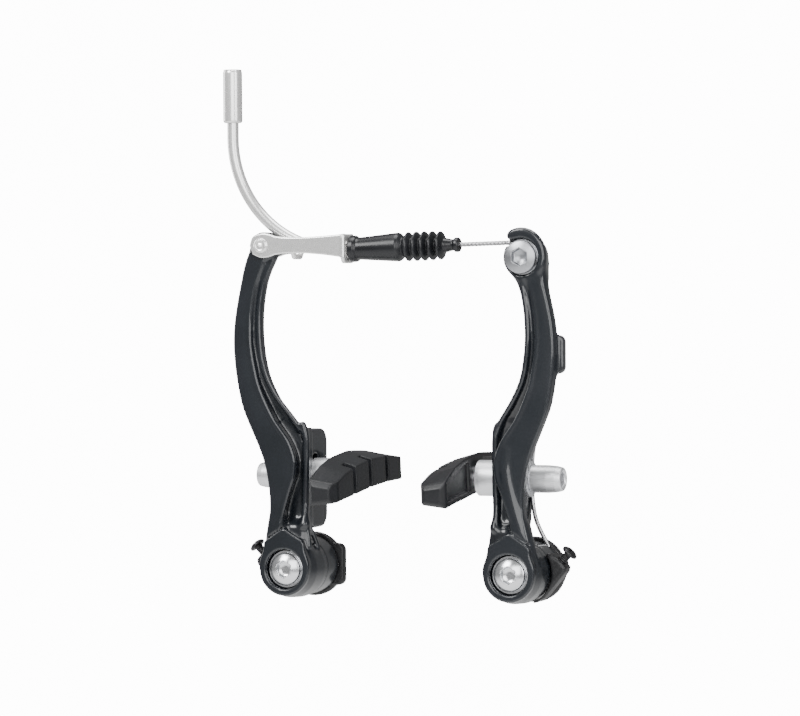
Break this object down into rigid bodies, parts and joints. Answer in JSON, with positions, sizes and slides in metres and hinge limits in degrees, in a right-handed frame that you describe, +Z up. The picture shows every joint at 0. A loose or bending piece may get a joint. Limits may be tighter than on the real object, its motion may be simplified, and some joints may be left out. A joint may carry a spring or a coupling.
{
  "type": "rim brake caliper",
  "caption": "Linear-pull rim brake: two curved cast arms on boss pivots, joined by a link, bent guide tube, bellows boot and cable, with a pad on each arm.",
  "frame": {"origin": "midway between the two frame boss axes, in the plane of the boss shoulders", "axes": "+X across the wheel to the arm that holds the cable anchor, +Y towards the frame along the boss axes, +Z up the arms"},
  "size_m": [0.121, 0.0629, 0.1788],
  "materials": {
    "arm_paint": "gloss black paint on cast aluminium",
    "bush_steel": "turned steel",
    "zinc_steel": "bright zinc plate",
    "holder_plastic": "satin black nylon",
    "spring_wire": "drawn spring steel",
    "black_screw": "black oxide",
    "pad_rubber": "matt dark grey rubber",
    "satin_aluminium": "satin tumbled aluminium",
    "bright_nickel": "nickel plate with a soft polish",
    "liner_plastic": "smooth white",
    "cable_steel": "twisted steel strand",
    "boot_rubber": "satin black rubber"
  },
  "bodies": {
    "root": {"left_pivot_bush": "bush_steel", "left_mounting_bolt": "zinc_steel", "left_bolt_washer": "zinc_steel", "left_spring_holder": "holder_plastic", "left_stop_pin": "bush_steel", "right_pivot_bush": "bush_steel", "right_mounting_bolt": "zinc_steel", "right_bolt_washer": "zinc_steel", "right_spring_holder": "holder_plastic", "right_stop_pin": "bush_steel"},
    "left_arm": {"left_brake_arm": "arm_paint", "left_return_spring": "spring_wire", "link_rivet": "bright_nickel"},
    "left_shoe_clamp": {"left_inner_domed_washer": "satin_aluminium", "left_inner_dished_spacer": "satin_aluminium", "left_outer_dished_washer": "satin_aluminium", "left_outer_domed_washer": "satin_aluminium", "left_sleeve_nut": "satin_aluminium"},
    "left_shoe": {"left_brake_pad": "pad_rubber", "left_pad_post": "zinc_steel"},
    "left_tension": {"left_tension_screw": "black_screw"},
    "right_arm": {"right_brake_arm": "arm_paint", "right_return_spring": "spring_wire", "anchor_bolt": "zinc_steel", "anchor_washer": "zinc_steel", "cable_tail": "cable_steel"},
    "right_shoe_clamp": {"right_inner_domed_washer": "satin_aluminium", "right_inner_dished_spacer": "satin_aluminium", "right_outer_dished_washer": "satin_aluminium", "right_outer_domed_washer": "satin_aluminium", "right_sleeve_nut": "satin_aluminium"},
    "right_shoe": {"right_brake_pad": "pad_rubber", "right_pad_post": "zinc_steel"},
    "right_tension": {"right_tension_screw": "black_screw"},
    "link": {"cable_link": "bright_nickel"},
    "guide": {"guide_tube": "bright_nickel", "tube_liner": "liner_plastic", "housing_ferrule": "bright_nickel", "cable_in_tube": "cable_steel", "cable_boot": "boot_rubber"},
    "span": {"cable_span": "cable_steel"}
  },
  "joints": [
    {"name": "left_arm_swing", "type": "hinge", "parent": "root", "child": "left_arm", "pos_m": [-0.04, -0.014, 0], "axis": [0, 1, 0], "range_deg": [0, 4], "stiffness_Nm_per_rad": 0.4, "springref_deg": -57.3, "deforming": ["left_return_spring"]},
    {"name": "left_shoe_slide", "type": "slide", "parent": "left_arm", "child": "left_shoe_clamp", "axis": [0, 0, 1], "range_m": [-0.0035, 0.0035]},
    {"name": "left_shoe_swivel", "type": "hinge", "parent": "left_shoe_clamp", "child": "left_shoe", "pos_m": [-0.04, -0.0135, 0.031], "axis": [1, 0, 0], "range_deg": [-10, 10]},
    {"name": "left_screw_turn", "type": "hinge", "parent": "root", "child": "left_tension", "pos_m": [-0.0559, -0.0128, 0.00635], "axis": [-0.6816, 0, 0.7317], "range_deg": [-360, 360]},
    {"name": "right_arm_swing", "type": "hinge", "parent": "root", "child": "right_arm", "pos_m": [0.04, -0.014, 0], "axis": [0, -1, 0], "range_deg": [0, 4], "stiffness_Nm_per_rad": 0.4, "springref_deg": -57.3, "deforming": ["right_return_spring"]},
    {"name": "right_shoe_slide", "type": "slide", "parent": "right_arm", "child": "right_shoe_clamp", "axis": [0, 0, 1], "range_m": [-0.0035, 0.0035]},
    {"name": "right_shoe_swivel", "type": "hinge", "parent": "right_shoe_clamp", "child": "right_shoe", "pos_m": [0.04, -0.0135, 0.031], "axis": [1, 0, 0], "range_deg": [-10, 10]},
    {"name": "right_screw_turn", "type": "hinge", "parent": "root", "child": "right_tension", "pos_m": [0.0559, -0.0128, 0.00635], "axis": [0.6816, 0, 0.7317], "range_deg": [-360, 360]},
    {"name": "link_pivot", "type": "hinge", "parent": "left_arm", "child": "link", "pos_m": [-0.0473, -0.024, 0.1089], "axis": [0, 1, 0], "range_deg": [-6, 0]},
    {"name": "guide_swivel", "type": "hinge", "parent": "link", "child": "guide", "pos_m": [-0.018, -0.024, 0.10746], "axis": [0.9997, 0, 0.0262], "range_deg": [-10, 10]},
    {"name": "cable_bend", "type": "hinge", "parent": "right_arm", "child": "span", "pos_m": [0.0385, -0.024, 0.10894], "axis": [0, 1, 0], "range_deg": [0, 5]}
  ],
  "couplings": [
    {"joint": "right_arm_swing", "follows": "left_arm_swing", "ratio": 1},
    {"joint": "link_pivot", "follows": "left_arm_swing", "ratio": -0.9562},
    {"joint": "cable_bend", "follows": "left_arm_swing", "ratio": 1.0438}
  ]
}
